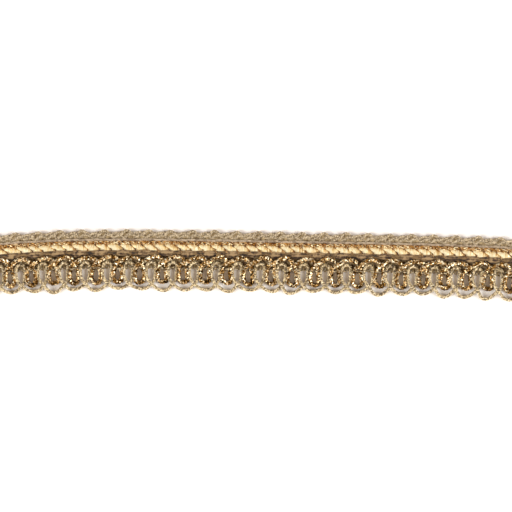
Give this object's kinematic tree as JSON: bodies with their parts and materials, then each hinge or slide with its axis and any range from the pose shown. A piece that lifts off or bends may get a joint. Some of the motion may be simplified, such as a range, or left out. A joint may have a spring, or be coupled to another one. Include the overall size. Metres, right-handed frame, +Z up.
{
  "type": "metallic lace trim",
  "caption": "Flat cut length of metallic gimp lace trim: picot heading, foil ribbon, chain band, and khaki and gold cords in loops along its lower edge.",
  "frame": {"origin": "bottom centre of the bounding box, on the surface that the trim lies on", "axes": "+X along the trim, +Y towards the picot edge, +Z up, through its thickness"},
  "size_m": [0.1378, 0.0174, 0.0016],
  "materials": {
    "ground_yarn": "matt crocheted yarn with metallic flecks",
    "gold_foil": "bright flat metallised ribbon",
    "taupe_yarn": "matt thick yarn",
    "khaki_cord": "twisted gimp cord with metallic flecks",
    "gold_cord": "glinting twisted metallic gimp cord"
  },
  "bodies": {
    "root": {"ground_braid": "ground_yarn", "foil_ribbon": "gold_foil", "chain_band": "taupe_yarn", "khaki_gimp": "khaki_cord", "gold_gimp": "gold_cord"}
  },
  "joints": []
}
